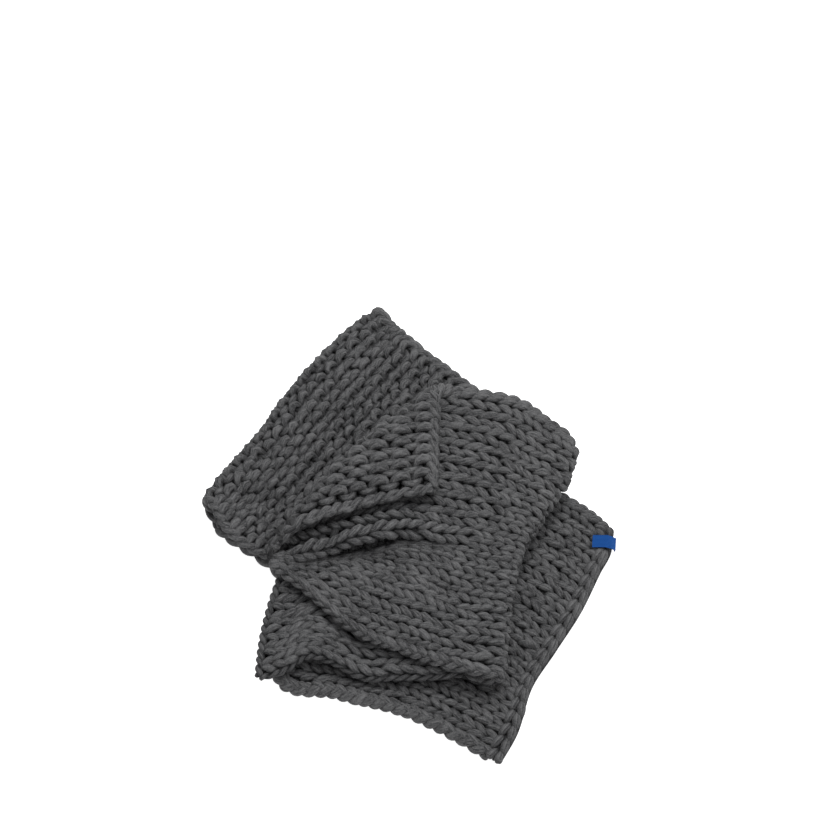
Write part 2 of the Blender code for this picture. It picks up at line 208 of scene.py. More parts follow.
# selvedges and the cast-on edge: two strands twisted round each other
ROPE_YARN = 7.2             # radius of a strand
ROPE_TWIST = 5.6            # distance of a strand from the middle of the rope
ROPE_LOOSE = 8              # points from one random draw to the next
ROPE_SWELL = 0.10           # how much fatter a strand is on its upper side
ROPE_SHADE = 0.5
UNEVEN_TURN, UNEVEN_SIZE, UNEVEN_SHADE = 0.18, 0.03, 0.2    # what chance does to a strand's
                                        # angle in radians, its radius and its tone
SELVEDGE = 0.004            # how far inside the edge it lies, as a share of the width
SELVEDGE_STEP = 3.2         # distance between its points
SELVEDGE_START = FIRST_COURSE - 10.0
SELVEDGE_STOP = 6.0         # distance from the cast-on end

# The three layers of the strip: how fat the ropes of the upper and lower selvedges are, and how
# far they lie off the cloth's middle.
Layer = namedtuple("Layer", "name seed upper_fat lower_fat level")
LAYERS = (
    Layer("knit_bottom", 11, 0.95, 1.24, 0.0),
    Layer("knit_middle", 12, 1.12, 0.9, -3.0),
    Layer("knit_top", 13, 1.1, 0.9, -2.0),
)

# The cast-on edge, in two lengths of rope with the beads after the first. Beads are the last
# stitches, bunched at the crest's end: `over` is about how far one stands past the edge, and
# `size` its radius.
CastOn = namedtuple("CastOn", "start stop points turns fat")
CAST_ON = CastOn(0.0, 0.46, 150, WALES * 0.39, 1.05)
CAST_ON_TUCKED = CastOn(TOP_LAYER[-1].tucked, 1.0, 40, 1.5, 1.1)
CAST_ON_BACK = 3.0          # distance of the rope from the end
CAST_ON_LEVEL = -1.0
Bead = namedtuple("Bead", "across over size")
BEADS = (Bead(0.398, 6, 13.5), Bead(0.432, 7, 14.0), Bead(0.466, 9, 14.0))
BEAD_LONG = 24.0
BEAD_BACK = 0.9             # share of its length that lies before that place
BEAD_LEVEL = -7.0
# painted light: a bead takes its painted shade at this high level, so it comes out light all round
BEAD_OPEN = 12.0            # the level at which it is shaded, as it lies open
BEAD_ENDS = 0.25            # radius at its ends, as a share of its own
BEAD_POINTS = 13

# the bound-off edge: a chain of links over plain strands
LINK_BACK, LINK_LONG = 0.72, 1.34       # start of a link before its wale's edge, and its length,
                                        # in wales
LINK_PART = 2.0             # distance of its legs from the chain's middle where they part
LINK_SPREAD = 8.5           # and how much further apart they end
LINK_LOW, LINK_RISE = -6.0, 15.0        # level of its ends and how far it stands up between
LABEL_LINKS = 2             # links that the label lies on
UNDER_LABEL = 0.4           # share of that rise in them
LINK_ROW = 15.0             # distance of the chain from the end
LINK_YARN, LINK_DEEP = 8.4, 8.6         # radii of a leg in the plane of the cloth and through it
LINK_ENDS, LINK_SWELL = 0.28, 0.82      # share of them at its ends, and what it gains between
LINK_FULL, LINK_ARCH = 0.75, 0.7        # powers below 1, for a fuller swell and a fuller arch
LINK_JITTER, LINK_JITTER_DEEP = 0.7, 0.6
LINK_POINTS = 21
END_SEED = 21
END_STRANDS = ((6.0, -5.0), (14.0, -3.0), (23.0, -5.0), (32.0, -9.0))   # from the end, and level
END_POINTS, END_SHADE = 90, 0.4

# the margin's stitches
MARGIN_SEED = 31
MARGIN_WALE, MARGIN_COURSE = 35.0, 27.5
MARGIN_LIP = 4.0            # distance of the first wale from the lip
MARGIN_TURN = 3             # wales over which the rows straighten from the lip's own line
MARGIN_HIDDEN = 11.0        # length at the upper end that needs no wale
MARGIN_FIRST = 18.0         # distance of the first course from the left end
MARGIN_PAST = 6.0           # how far past the other end the last may lie
MARGIN_END_SHIFT = 6.0      # the first course is moved in by that,
MARGIN_END_TALL = 0.72      # and made so much shorter
MARGIN_END_BACK = 13.0      # place of the strand behind its outer side
MARGIN_BACK, MARGIN_BACK_INSET = 16, 6  # a backing strand runs from there to this far below the
                                        # upper end,
MARGIN_BACK_TOP, MARGIN_END_TOP = 230, 224      # and at most up to there, or at the end just there
MARGIN_BACK_POINTS = 40
# its two ropes, up the left end and along the lip
MARGIN_END_ROPE = (3, 232, 120)         # from, to, and points
MARGIN_END_S, MARGIN_END_LEVEL, MARGIN_END_FAT = 4.0, -1.0, 0.72
LIP_START, LIP_STOP, LIP_POINTS = 6, 12, 180    # from both ends of the margin
LIP_LEVEL, LIP_TURN, LIP_FAT = -4.0, 44, 0.62   # the second is the length of one turn

# where the cloth sags: under the ridge, and in the middle layer beside the lip and the crest;
# `slant` is the rise of a dip's long way
Hollow = namedtuple("Hollow", "x y slant length width depth")
TOP_HOLLOWS = (
    Hollow(-56, -84, -0.20, 95, 34, 25),
    Hollow(57, -142, -0.26, 34, 22, 16),
)
MIDDLE_HOLLOWS = (
    Hollow(-330, 66, 0.0, 90, 24, 15),
    Hollow(-205, 118, 1.05, 130, 27, 16),
    Hollow(-15, 350, 1.10, 80, 30, 12),
)

# where the grid of stitches is evened over the cloth, round the right fold
EVEN_FROM, EVEN_TO = 1270.0, 1580.0
EVEN_FADE_IN, EVEN_FADE_OUT = 60.0, 40.0
EVEN_CELL = 10.0            # distance of the lines that are evened
EVEN_ROUNDS = 300
EVEN_PACE = 0.7             # share of a pull that is followed in one round
EVEN_STIFF = 0.9            # share of the pull along a wale; the rest is across it
PROBE_U, PROBE_S = 0.004, 2.0           # how far to each side the surface's slopes are taken

# weights of the yarn's tones, which add up before the ramp, and scales of the label's two waves
STITCH_TONE, PATCH_TONE, RIB_TONE, NAP_TONE = 0.16, 0.35, 1.5, 0.8
RIBBON_WAVES = (("X", 950 / 6.28), ("Y", 700 / 6.28))

# the camera, in the tables' frame
SCALE = 2.1                 # millimetres of the floor under one point of the picture, level
ELEVATION = math.radians(65)
CAMERA_DISTANCE = 6600.0
PICTURE = 840
PICTURE_CENTRE = (8, 120)   # of the picture from the tables' origin, in its points
SENSOR = 36.0
SEES_TO = 100               # metres

# floor and lights, in metres and watts
FLOOR = 6                   # half its side
FLOOR_DROP = 0.001          # how far it lies under the heap
FLOOR_GLOW, SKY_GLOW = 0.85, 0.40
Lamp = namedtuple("Lamp", "name place size power")
LAMPS = (Lamp("key", (0.5, 1.2, 3.1), 1.8, 80.0), Lamp("fill", (1.6, -0.6, 2.6), 2.0, 10.0))


def smooth(t):
    """0 to 1 with level ends."""
    t = np.clip(t, 0.0, 1.0)
    return t * t * (3 - 2 * t)


def unit(vectors):
    """The vectors at length 1."""
    return vectors / (np.linalg.norm(vectors, axis=-1, keepdims=True) + TINY)


def distances(line):
    """How far along a line of places each of them is."""
    steps = np.linalg.norm(np.diff(line, axis=0), axis=1)
    return np.concatenate([[0.0], np.cumsum(steps)])


def gentle(xs, ys, x):
    """Monotone cubic through the points (xs, ys), taken at x: it never overshoots a table."""
    xs, ys, x = np.asarray(xs, float), np.asarray(ys, float), np.asarray(x, float)
    step = np.diff(xs)
    slope = np.diff(ys) / step
    tangent = np.zeros(len(xs))
    tangent[0], tangent[-1] = slope[0], slope[-1]
    for i in range(1, len(xs) - 1):
        if slope[i - 1] * slope[i] > 0:
            tangent[i] = 2 / (1 / slope[i - 1] + 1 / slope[i])
    i = np.clip(np.searchsorted(xs, x, side="right") - 1, 0, len(xs) - 2)
    t = (x - xs[i]) / step[i]
    return (ys[i] * (1 + 2 * t) * (1 - t) ** 2 + tangent[i] * step[i] * t * (1 - t) ** 2
            + ys[i + 1] * t * t * (3 - 2 * t) - tangent[i + 1] * step[i] * t * t * (1 - t))


def flowing(xs, rows, x):
    """Smooth curve through whole rows of points at the stations xs, taken at x."""
    step = np.diff(xs)
    slope = np.diff(rows, axis=0) / step[:, None, None]
    tangent = np.empty_like(rows)
    tangent[0], tangent[-1] = slope[0], slope[-1]
    weight = (step[1:] / (step[1:] + step[:-1]))[:, None, None]
    tangent[1:-1] = slope[:-1] * weight + slope[1:] * (1 - weight)
    i = np.clip(np.searchsorted(xs, x, side="right") - 1, 0, len(xs) - 2)
    t = ((x - xs[i]) / step[i])[:, None, None]
    h = step[i][:, None, None]
    return (rows[i] * (1 + 2 * t) * (1 - t) ** 2 + tangent[i] * h * t * (1 - t) ** 2
            + rows[i + 1] * t * t * (3 - 2 * t) - tangent[i + 1] * h * t * t * (1 - t))


def layer_row(section, height, across):
    """A cross section of a flat layer: places across the width."""
    bow = 4 * across * (1 - across)
    x = section.upper_x + (section.lower_x - section.upper_x) * across + section.bow_x * bow
    y = section.upper_y + (section.lower_y - section.upper_y) * across + section.bow_y * bow
    return np.stack([x, y, height + section.curl * curled(across)], axis=1)


def curled(across):
    """Share of a selvedge's curl at places across the width."""
    return smooth((across - CURL_FROM) / (1 - CURL_FROM))


def pleated_row(section, across):
    """A cross section of the top layer, up to the ridge and down to the lower selvedge."""
    upper = np.array([section.upper_x, section.upper_y], float)
    ridge = np.array([section.ridge_x, section.ridge_y], float)
    lower = np.array([section.lower_x, section.lower_y], float)
    down = (lower - ridge) / np.linalg.norm(lower - ridge)
    foot = ridge + down * min(RIDGE_FOOT, 0.5 * np.linalg.norm(lower - ridge))
    shares = (0.0, RIDGE_BACK, RIDGE, section.tucked, 1.0)
    back = upper + (ridge - upper) * RIDGE_BACK / RIDGE
    places = (upper, back, ridge, foot, lower)
    rises = (0.0, 0.0, section.rise, 0.0, 0.0)
    return np.stack([gentle(shares, [p[0] for p in places], across),
                     gentle(shares, [p[1] for p in places], across),
                     TOP + gentle(shares, rises, across)], axis=1)


def line_row(line, height, across):
    """Places across the width along a line of the table kind."""
    return np.stack([gentle([r.across for r in line], [r.x for r in line], across),
                     gentle([r.across for r in line], [r.y for r in line], across),
                     np.full_like(across, height)], axis=1)


def fold_rows(rim, radius, floor, curl, across, knit_side):
    """The lines round a fold from its lower layer to its upper one, with level cloth at both
    ends. The upper one's selvedge is raised by `curl`. `knit_side` is +1 where the knit side
    faces away from the fold's axis, else -1."""
    bearing = np.radians(gentle([r.across for r in rim], [r.bearing for r in rim], across))
    out = np.stack([np.cos(bearing), np.sin(bearing), np.zeros_like(bearing)], axis=1)
    axis = line_row(rim, floor + radius, across) - out * (CLOTH / 2 + radius)
    lines = [(angle, 0.0) for angle in FOLD_ANGLES]
    lines = [(-90, FOLD_LEAD), *lines, (90, FOLD_LEAD)]
    rows = []
    for angle, lead in lines:
        turn = math.radians(angle)
        away = out * math.cos(turn) + np.array([0, 0, math.sin(turn)])
        line = axis + away * radius - out * lead
        line[:, 2] += curl * curled(across) * (1 + math.sin(turn)) / 2
        rows.append((line, away * knit_side))
    return rows


def strip_rows(across):
    """Every cross section of the strip in order, with the knit side's direction."""
    up = np.tile([0.0, 0.0, 1.0], (len(across), 1))
    rows = [(line_row(BOUND_OFF, BASE, across), up)]
    rows += [(layer_row(s, BASE, across), up) for s in BOTTOM_LAYER]
    rows += fold_rows(LEFT_FOLD, LEFT_RADIUS, BASE, LEFT_CURL, across, -1)
    rows += [(layer_row(s, MIDDLE, across), -up) for s in MIDDLE_LAYER]
    rows += fold_rows(RIGHT_FOLD, RIGHT_RADIUS, MIDDLE, 0, across, 1)
    rows += [(pleated_row(s, across), up) for s in TOP_LAYER]
    return rows


def turn_corner(place, facing):
    """Bends the far corner of the top layer up and over the crest, and bows the crest."""
    start, end = np.array(CREST_FROM, float), np.array(CREST_TO, float)
    length = np.linalg.norm(end - start)
    along = (end - start) / length
    out = np.array([along[1], -along[0]])
    flat = place[:, :, :2] - start
    run, past = flat @ along, flat @ out + CREST_RADIUS + CLOTH / 2
    rise = (place[:, :, 2] - TOP) * (1 - smooth((past + RELIEF_ENDS) / RELIEF_FADE))
    arc = math.pi * CREST_RADIUS
    turn = np.clip(past / CREST_RADIUS, 0, math.pi)
    beyond = np.clip(past - arc, 0, None)
    reach = np.where(past > 0, np.sin(turn) * (CREST_RADIUS - rise) - beyond, past)
    settle = (2 * CREST_RADIUS - CLOTH - FLAP_GAP) * smooth(beyond / FLAP_SETTLE)
    height = np.where(past > 0, CREST_RADIUS - np.cos(turn) * (CREST_RADIUS - rise) - settle, rise)
    bow = CREST_BOW * np.sin(math.pi * np.clip(run / length, 0, 1))
    bow = bow * (1 - smooth((np.abs(reach) - CREST_RADIUS) / CREST_REACH))
    reach = reach - CREST_RADIUS - CLOTH / 2 + bow
    moved = np.empty_like(place)
    moved[:, :, :2] = start + run[..., None] * along + reach[..., None] * out
    moved[:, :, 2] = TOP + height
    side = facing[:, :, :2] @ out
    turned = side * np.cos(turn) - facing[:, :, 2] * np.sin(turn)
    faced = facing.copy()
    faced[:, :, :2] += (turned - side)[..., None] * out
    faced[:, :, 2] = side * np.sin(turn) + facing[:, :, 2] * np.cos(turn)
    return moved, faced


# ---------------------------------------------------------------- cloth surfaces


class Cloth:
    """A fine grid of the cloth's middle surface that can be read at any place on it."""

    def __init__(self, place, facing, across, along):
        self.place, self.across, self.along = place, across, along
        side = np.gradient(place, axis=1)
        run = np.gradient(place, axis=0)
        normal = np.cross(side, run)
        normal *= np.sign((normal * facing).sum(axis=2, keepdims=True) + 1e-12)
        normal = unit(normal) * (1 - FACING_SHARE) + facing * FACING_SHARE
        rows, columns = place.shape[:2]
        border = (BLUR_REACH, BLUR_REACH)
        shifts = (0, BLUR_REACH, 2 * BLUR_REACH)
        for _ in range(BLUR_ROUNDS):
            padded = np.pad(normal, (border, border, (0, 0)), mode="edge")
            normal = sum(padded[i:i + rows, j:j + columns] for i in shifts for j in shifts)
        self.normal = normal / np.linalg.norm(normal, axis=2, keepdims=True)

    def read(self, grid, u, s):
        """A grid's values at the places (u, s), between its lines and on past its edges."""
        i = np.clip(np.searchsorted(self.along, s) - 1, 0, len(self.along) - 2)
        j = np.clip(np.searchsorted(self.across, u) - 1, 0, len(self.across) - 2)
        b = ((s - self.along[i]) / (self.along[i + 1] - self.along[i]))[..., None]
        a = ((u - self.across[j]) / (self.across[j + 1] - self.across[j]))[..., None]
        return (grid[i, j] * (1 - a) * (1 - b) + grid[i, j + 1] * a * (1 - b)
                + grid[i + 1, j] * (1 - a) * b + grid[i + 1, j + 1] * a * b)

    def at(self, u, s, n):
        """The places (u, s, n), and the cloth's direction there. Each may be one number."""
        u, s, n = np.broadcast_arrays(u, s, n)
        inside_u = np.clip(u, self.across[0], self.across[-1])
        inside_s = np.clip(s, self.along[0], self.along[-1])
        normal = self.read(self.normal, inside_u, inside_s)
        normal = normal / np.linalg.norm(normal, axis=-1, keepdims=True)
        return self.read(self.place, u, s) + normal * n[..., None], normal


def evened(cloth):
    """The same surface with its grid slid over it until the stitches lie evenly round the right
    fold: each point is pulled to the middle of its neighbours, and stays on the surface."""
    columns = np.linspace(0, 1, WALES + 1)
    lines = np.arange(EVEN_FROM, EVEN_TO + 1, EVEN_CELL)
    u, s = np.meshgrid(columns, lines)
    hold = smooth((lines - EVEN_FROM) / EVEN_FADE_IN) * smooth((EVEN_TO - lines) / EVEN_FADE_OUT)
    slid = np.zeros((*u.shape, 2))

    def read(across, along):
        return cloth.read(cloth.place, across, along)

    for _ in range(EVEN_ROUNDS):
        at_u, at_s = u + slid[..., 0], s + slid[..., 1]
        low, high = np.clip(at_u - PROBE_U, 0, 1), np.clip(at_u + PROBE_U, 0, 1)
        by_u = (read(high, at_s) - read(low, at_s)) / (high - low)[..., None]
        by_s = (read(at_u, at_s + PROBE_S) - read(at_u, at_s - PROBE_S)) / (2 * PROBE_S)
        place = read(at_u, at_s)
        pull = np.zeros_like(place)
        pull[1:-1] = (place[2:] + place[:-2] - 2 * place[1:-1]) / 2
        pull[:, 1:-1] = (EVEN_STIFF * pull[:, 1:-1] + (1 - EVEN_STIFF)
                         * (place[:, 2:] + place[:, :-2] - 2 * place[:, 1:-1]) / 2)
        uu, us, ss = (by_u * by_u).sum(2), (by_u * by_s).sum(2), (by_s * by_s).sum(2)
        along_u, along_s = (pull * by_u).sum(2), (pull * by_s).sum(2)
        whole = uu * ss - us * us + 1e-6
        move = np.stack([ss * along_u - us * along_s, uu * along_s - us * along_u], axis=2)
        move /= whole[..., None]
        # the selvedges only slide along themselves
        move[:, [0, -1], 0] = 0
        move[:, [0, -1], 1] = (along_s / ss)[:, [0, -1]]
        slid += EVEN_PACE * hold[:, None, None] * move

    inside = (cloth.along >= lines[0]) & (cloth.along <= lines[-1])
    shift = flowing(lines, slid, cloth.along[inside])
    shift = flowing(columns, shift.transpose(1, 0, 2), cloth.across).transpose(1, 0, 2)
    at_u, at_s = np.meshgrid(cloth.across, cloth.along[inside])
    at_u, at_s = np.clip(at_u + shift[..., 0], 0, 1), at_s + shift[..., 1]
    place, facing = cloth.place.copy(), cloth.normal.copy()
    place[inside] = read(at_u, at_s)
    facing[inside] = cloth.read(cloth.normal, at_u, at_s)
    return Cloth(place, facing, cloth.across, cloth.along)


def sagging(place, hollows):
    """How deep the cloth sags at its places."""
    depth = np.zeros(place.shape[:2])
    for dip in hollows:
        x, y = place[..., 0] - dip.x, place[..., 1] - dip.y
        long, short = x + y * dip.slant, y - x * dip.slant
        stretch = 1 + dip.slant ** 2
        off = (long / dip.length) ** 2 / stretch + (short / dip.width) ** 2 / stretch
        depth += dip.depth * np.exp(-off)
    return depth


def strip_cloth():
    """The whole strip from the bound-off end to the turned-over corner, with the distance of each
    cross section along it and the share of its width at which the pleat comes out."""
    across = np.linspace(0, 1, STRIP_ACROSS)
    places, facings = (np.array(part) for part in zip(*strip_rows(across)))
    gauge = np.array([line for line, _ in strip_rows(np.array(STRIP_GAUGE))])
    marks = distances(gauge.mean(axis=1))
    along = np.linspace(0, marks[-1], STRIP_ALONG)
    place, facing = flowing(marks, places, along), flowing(marks, facings, along)
    tucks = np.array([RIDGE] * TOP_ROW + [section.tucked for section in TOP_LAYER])

    # the dips: in the top layer they deepen from the ridge to where the pleat comes out
    top = along > marks[TOP_ROW] - 1e-6
    pleat = np.interp(along[top], marks, tucks)[:, None] - (RIDGE - LEAST_PLEAT)
    place[top, :, 2] -= sagging(place[top], TOP_HOLLOWS) * smooth((across - RIDGE) / pleat)
    middle = (along > marks[LEFT_TURN]) & (along < marks[RIGHT_ROW])
    place[middle, :, 2] -= sagging(place[middle], MIDDLE_HOLLOWS)

    place[top], facing[top] = turn_corner(place[top], facing[top])
    facing /= np.linalg.norm(facing, axis=2, keepdims=True)
    return evened(Cloth(place, facing, across, along)), marks, tucks


def margin_cloth():
    """The pleated margin, with the distance of each section from its left end, and its length
    from the lip up."""
    up = np.linspace(0, MARGIN_DEPTH, MARGIN_ACROSS)
    rows, lengths = [], []
    for m in MARGIN:
        length = math.hypot(m.upper_x - m.lower_x, m.upper_y - m.lower_y)
        share = 1 - up / length
        ends = Section(m.upper_x, m.upper_y, m.lower_x, m.lower_y, 0, 0, 0)
        row = layer_row(ends, MIDDLE, share)
        row[:, 0] += m.bow * 4 * np.clip(share * (1 - share), 0, 1)
        row[:, 2] += m.join + m.lift * smooth(share)
        rows.append(row)
        lengths.append(length)
    rows = np.array(rows)
    marks = distances(rows[:, MARGIN_GAUGE])
    along = np.linspace(0, marks[-1], MARGIN_ALONG)
    place = flowing(marks, rows, along)
    facing = np.tile([0.0, 0.0, 1.0], (*place.shape[:2], 1))
    return Cloth(place, facing, up, along), marks, lengths


# ---------------------------------------------------------------- yarn


class Yarn:
    """Gathers tubes of yarn into one mesh."""

    def __init__(self, seed):
        self.points, self.faces, self.shade, self.run, self.open = [], [], [], [], []
        self.count = 0
        self.chance = np.random.default_rng(seed)

    def tube(self, centre, normal, wide, deep, shade, level=None, core=None, ring=RING):
        """A closed tube along `centre`, `wide` in the plane of the cloth and `deep` through it.
        `level` is how far its middle is off the cloth's, or `core` is what it winds round."""
        count = len(centre)
        wide, deep, shade = (np.broadcast_to(value, count) for value in (wide, deep, shade))
        tangent = unit(np.gradient(centre, axis=0))
        up = unit(normal - tangent * (normal * tangent).sum(axis=1, keepdims=True))
        side = np.cross(tangent, up)
        turn = np.arange(ring) * 2 * math.pi / ring
        skin = (centre[:, None] + side[:, None] * (wide[:, None] * np.cos(turn))[..., None]
                + up[:, None] * (deep[:, None] * np.sin(turn))[..., None])
        self.points += [skin.reshape(-1, 3), centre[:1] - tangent[:1] * wide[0] * TIP,
                        centre[-1:] + tangent[-1:] * wide[-1] * TIP]

        i, k = np.meshgrid(np.arange(count - 1), np.arange(ring), indexing="ij")
        a, b = i * ring + k, i * ring + (k + 1) % ring
        quads = np.stack([a, b, b + ring, a + ring], axis=-1).reshape(-1, 4)
        k = np.arange(ring)
        after, last, tip = (k + 1) % ring, (count - 1) * ring, k * 0 + count * ring
        caps = np.concatenate([np.stack([after, k, tip], axis=1),
                               np.stack([last + k, last + after, tip + 1], axis=1)])
        self.faces += (quads + self.count).tolist() + (caps + self.count).tolist()
        self.count += count * ring + 2

        # `open`: how far a point lies out of the cloth's middle, or off a rope's core; the
        # material paints shade where it is low
        if core is None:
            level = np.broadcast_to(level, count)
            out = np.abs(level[:, None] + deep[:, None] * np.sin(turn)) / (DEPTH + YARN_DEEP)
        else:
            out = np.linalg.norm(skin - core[:, None], axis=2) / (ROPE_TWIST + ROPE_YARN)
        self.open += [out.ravel(), out[:1].mean(1), out[-1:].mean(1)]
        self.shade += [np.repeat(shade, ring), shade[:1], shade[-1:]]
        angle = np.tile(turn, count)
        gone = np.repeat(distances(centre), ring)
        run = np.stack([gone, np.cos(angle), np.sin(angle)], axis=1)
        self.run += [run, run[:1], run[-1:]]

    def strand(self, cloth, u, s, n, wide, deep, shade, level=None, ring=RING):
        """A tube along the line (u, s, n) of the cloth, with its painted shade taken for that
        level or another.
        """
        centre, normal = cloth.at(u, s, n)
        self.tube(centre, normal, wide, deep, shade, n if level is None else level, ring=ring)

    def course(self, cloth, edges, s, tall, heads):
        """One row of loops between the wale `edges` at `s`; `heads` is the way they point."""
        edges = np.asarray(edges)
        wales = len(edges) - 1
        t = np.arange(POINTS * wales + 1) / POINTS
        wale = np.minimum(t.astype(int), wales - 1)
        phase = (t - wale) * 2 * math.pi
        wide = np.diff(edges)[wale]
        widths = np.linalg.norm(np.diff(cloth.at(edges, s, 0.0)[0], axis=0), axis=1)

        # four random lines along the row: across it, along the cloth, through it and in size
        knots = self.chance.normal(0, 1, (4, KNOTS * wales + 1)) * JITTER
        at = np.minimum((t * KNOTS).astype(int), KNOTS * wales - 1)
        mix = smooth(t * KNOTS - at)
        off = knots[:, at] * (1 - mix) + knots[:, at + 1] * mix
        per_mm = np.clip(wide / np.maximum(widths[wale], LEAST_WALE), 0, 1)

        u = edges[wale] + wide * (phase / 2 / math.pi + LOOP_SPLAY * np.sin(2 * phase))
        u = u + off[0] * per_mm
        along = s - heads * tall / 2 * np.cos(phase) + off[1]
        n = -DEPTH * np.cos(2 * phase) + off[2] * JITTER_DEEP
        n = n + FOOT_SUNK * np.clip(np.cos(phase), 0, 1) ** 2
        size = 1 + SWELL * np.cos(4 * phase) - HEAD_SWELL * np.cos(phase)
        size = size * np.clip((widths / USUAL_WALE) ** 0.5, FINEST, FATTEST)[wale]
        size = size * (1 + JITTER_SIZE * off[3])
        shades = self.chance.random(wales + 2)
        self.strand(cloth, u, along, n, YARN * size, YARN_DEEP * size, shades[wale])

    def backing(self, cloth, u, s):
        """A flat strand behind the stitches, where the floor would show between them."""
        # painted shade: the strand gets the lowest tone and takes its painted shade at the cloth's
        # middle, so it comes out darkest, as the shade between the stitches
        self.strand(cloth, u, s, BACK_LEVEL, BACK_WIDE, BACK_DEEP, 0.0, 0.0, BACK_RING)

    def rope(self, cloth, u, s, n, turns, fat):
        """Two strands twisted round each other along the line (u, s, n) of the cloth."""
        core, normal = cloth.at(u, s, n)
        count = len(core)
        side = np.cross(unit(np.gradient(core, axis=0)), normal)
        loose = self.chance.normal(0, 1, (2, count // ROPE_LOOSE + 2))
        draws = np.arange(loose.shape[1])
        for strand in (0, 1):
            wander = np.interp(np.arange(count) / ROPE_LOOSE, draws, loose[strand])
            angle = turns * 2 * math.pi * np.linspace(0, 1, count) + strand * math.pi
            angle = angle + UNEVEN_TURN * wander
            away = side * np.cos(angle)[:, None] + normal * np.sin(angle)[:, None]
            wide = ROPE_YARN * fat * (1 + ROPE_SWELL * np.sin(angle) + UNEVEN_SIZE * wander)
            self.tube(core + ROPE_TWIST * fat * away, normal, wide, wide,
                      ROPE_SHADE + UNEVEN_SHADE * wander, core=core)

    def piece(self, name, material):
        """Makes the finished mesh, attached to the root body in place of the blanket's CAD part,
        which it hides.
        """
        points = (np.concatenate(self.points) - HEAP_CENTRE) * MM
        mesh = bpy.data.meshes.new(name)
        mesh.from_pydata(points.tolist(), [], self.faces)
        mesh.shade_smooth()
        for key, values in (("shade", self.shade), ("open", self.open)):
            layer = mesh.attributes.new(key, "FLOAT", "POINT")
            layer.data.foreach_set("value", np.concatenate(values).astype(np.float32))
        layer = mesh.attributes.new("run", "FLOAT_VECTOR", "POINT")
        layer.data.foreach_set("vector", np.concatenate(self.run).astype(np.float32).ravel())
        made = bpy.data.objects.new(name, mesh)
        bpy.context.scene.collection.objects.link(made)
        mesh.materials.append(material)
        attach(made, "root")
        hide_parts("blanket")


def wale_edges(cloth, s, tucked):
    """Edges of the wales across the strip at `s`, in one run or in two with the pleat between
    them. Below the pleat they keep their distance from the lower selvedge, and the first of
    them climbs a little way up the pleat's slope."""
    if tucked < PLEAT_OPENS:
        return [[k / WALES for k in range(WALES + 1)]]
    ridge, foot, end = cloth.at(np.array([RIDGE, tucked, 1.0]), s, 0.0)[0]
    slope, flat = np.linalg.norm(foot - ridge), np.linalg.norm(end - foot)
    upper = [k / WALES * (1 + RIDGE_SPREAD) for k in range(WALES // 2)]
    upper.append(RIDGE + (tucked - RIDGE) * min(OVER_MOST, OVER_RIDGE / slope))
    blend = float(smooth((tucked - PLEAT_OPENS) / PLEAT_BLEND))
    wale = LOWER_WALE * blend + flat / (1 - tucked) / WALES * (1 - blend)
    shown = int(flat / wale)
    lower = [1 - k * wale / flat * (1 - tucked) for k in range(shown, -1, -1)]
    hidden = min(max(wale - (flat - shown * wale), UP_LEAST), UP_SLOPE)
    return [upper, [tucked - (tucked - RIDGE) * min(UP_MOST, hidden / slope), *lower]]


def bound_off(knit, strip):
    """The bound-off edge: a chain along the end of the strip, each link two almond legs that
    part from one point, over plain strands."""
    t = np.linspace(0, 1, LINK_POINTS)
    swell = np.sin(math.pi * t)
    size = LINK_ENDS + LINK_SWELL * swell ** LINK_FULL
    for k in range(WALES + 1):
        shade = knit.chance.random()
        rise = LINK_RISE * (UNDER_LABEL if k < LABEL_LINKS else 1.0)
        u = np.clip((k - LINK_BACK + t * LINK_LONG) / WALES, 0.0, 1.0)
        for side in (-1, 1):
            drift = knit.chance.normal(0, 1, 3)
            apart = LINK_PART + LINK_SPREAD * t ** LINK_ARCH + LINK_JITTER * drift[0]
            s = LINK_ROW + side * apart + LINK_JITTER * drift[1]
            n = LINK_LOW + rise * swell ** LINK_ARCH + LINK_JITTER_DEEP * drift[2]
            knit.strand(strip, u, s, n, LINK_YARN * size, LINK_DEEP * size, shade)
    for s, n in END_STRANDS:
        knit.strand(strip, np.linspace(0, 1, END_POINTS), s, n, YARN, YARN_DEEP, END_SHADE)


def beads(knit, strip):
    """The round stitches that end the cast-on edge."""
    t = np.linspace(0, 1, BEAD_POINTS)
    swell = np.sqrt(np.clip(np.sin(math.pi * t), 0.0, 1.0))
    for bead in BEADS:
        drift = knit.chance.normal(0, 1, 2)
        s = strip.along[-1] + bead.over - BEAD_LONG * (BEAD_BACK - t)
        size = bead.size * (BEAD_ENDS + (1 - BEAD_ENDS) * swell) * (1 + UNEVEN_SIZE * drift[1])
        knit.strand(strip, bead.across, s, drift[0] + BEAD_LEVEL, size, size,
                    knit.chance.random(), BEAD_OPEN)


def cast_on(knit, strip, part):
    """A length of the cast-on edge."""
    u = np.linspace(part.start, part.stop, part.points)
    knit.rope(strip, u, strip.along[-1] - CAST_ON_BACK, CAST_ON_LEVEL, part.turns, part.fat)


